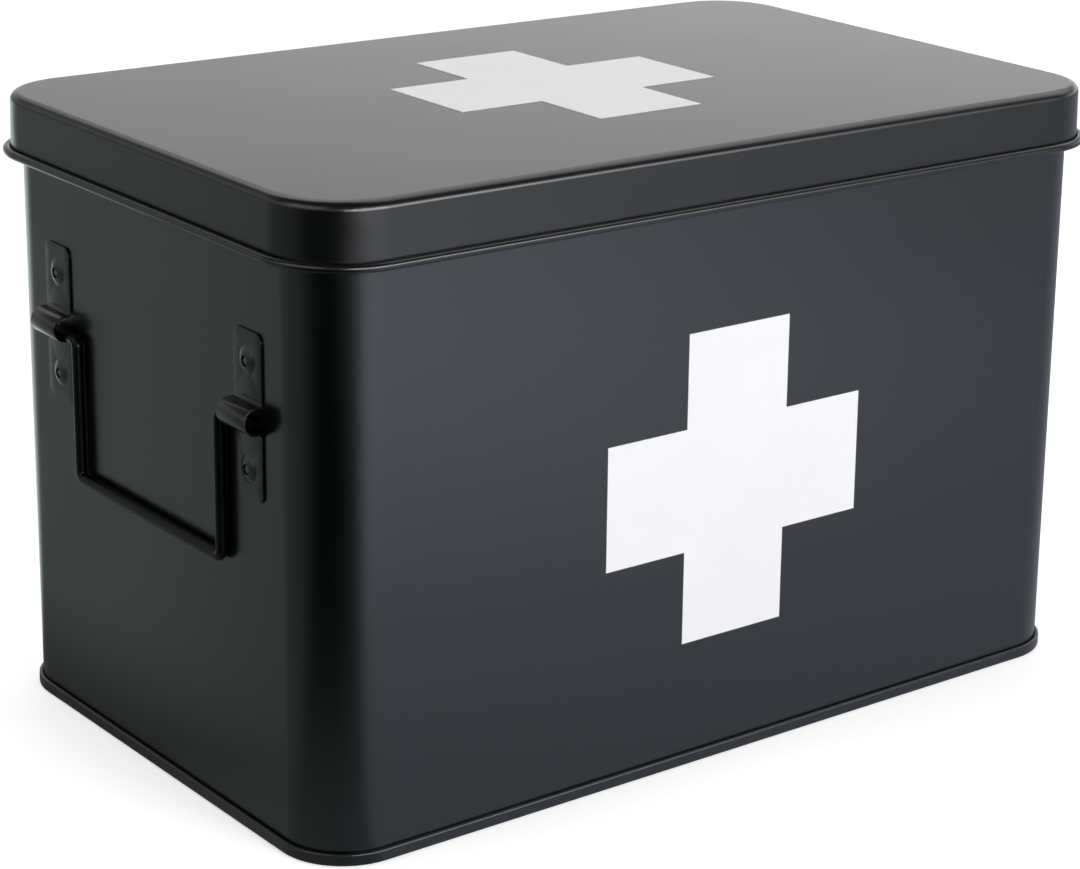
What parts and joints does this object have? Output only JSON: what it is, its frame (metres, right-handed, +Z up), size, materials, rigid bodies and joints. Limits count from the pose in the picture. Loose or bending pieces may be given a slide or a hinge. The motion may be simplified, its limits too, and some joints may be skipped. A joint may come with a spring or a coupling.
{
  "type": "medicine box",
  "caption": "Coated sheet-steel medicine box with rounded corners, a lift-off lid, a rolled bead, wire bail handles at its ends and plain white crosses.",
  "frame": {"origin": "middle of the box's footprint, on the plane that the base seam stands on", "axes": "+X along the front wall towards the right-hand handle, +Y from the front wall with the cross towards the back, +Z up"},
  "size_m": [0.335, 0.212, 0.2121],
  "materials": {
    "coated_sheet": "satin black powder coat, very fine texture",
    "coated_lid": "satin black powder coat, very fine texture",
    "coated_wire": "satin black powder coat, polished a little by handling",
    "coated_strap": "satin black powder coat",
    "coated_rivet": "satin black paint",
    "white_film": "smooth matte white film"
  },
  "bodies": {
    "box": {"body_wall": "coated_sheet", "base_panel": "coated_sheet", "front_cross": "white_film", "left_front_bracket": "coated_strap", "left_rear_bracket": "coated_strap", "right_front_bracket": "coated_strap", "right_rear_bracket": "coated_strap", "left_front_lower_rivet": "coated_rivet", "left_front_upper_rivet": "coated_rivet", "left_rear_lower_rivet": "coated_rivet", "left_rear_upper_rivet": "coated_rivet", "right_front_lower_rivet": "coated_rivet", "right_front_upper_rivet": "coated_rivet", "right_rear_lower_rivet": "coated_rivet", "right_rear_upper_rivet": "coated_rivet"},
    "lid": {"lid": "coated_lid", "lid_cross": "white_film"},
    "left_handle": {"left_bail": "coated_wire"},
    "right_handle": {"right_bail": "coated_wire"}
  },
  "joints": [
    {"name": "lid_lift", "type": "slide", "parent": "box", "child": "lid", "axis": [0, 0, 1], "range_m": [0, 0.15]},
    {"name": "left_handle_swing", "type": "hinge", "parent": "box", "child": "left_handle", "pos_m": [-0.1626, 0, 0.1368], "axis": [0, 1, 0], "range_deg": [0, 180]},
    {"name": "right_handle_swing", "type": "hinge", "parent": "box", "child": "right_handle", "pos_m": [0.1626, 0, 0.1368], "axis": [0, -1, 0], "range_deg": [0, 180]}
  ]
}
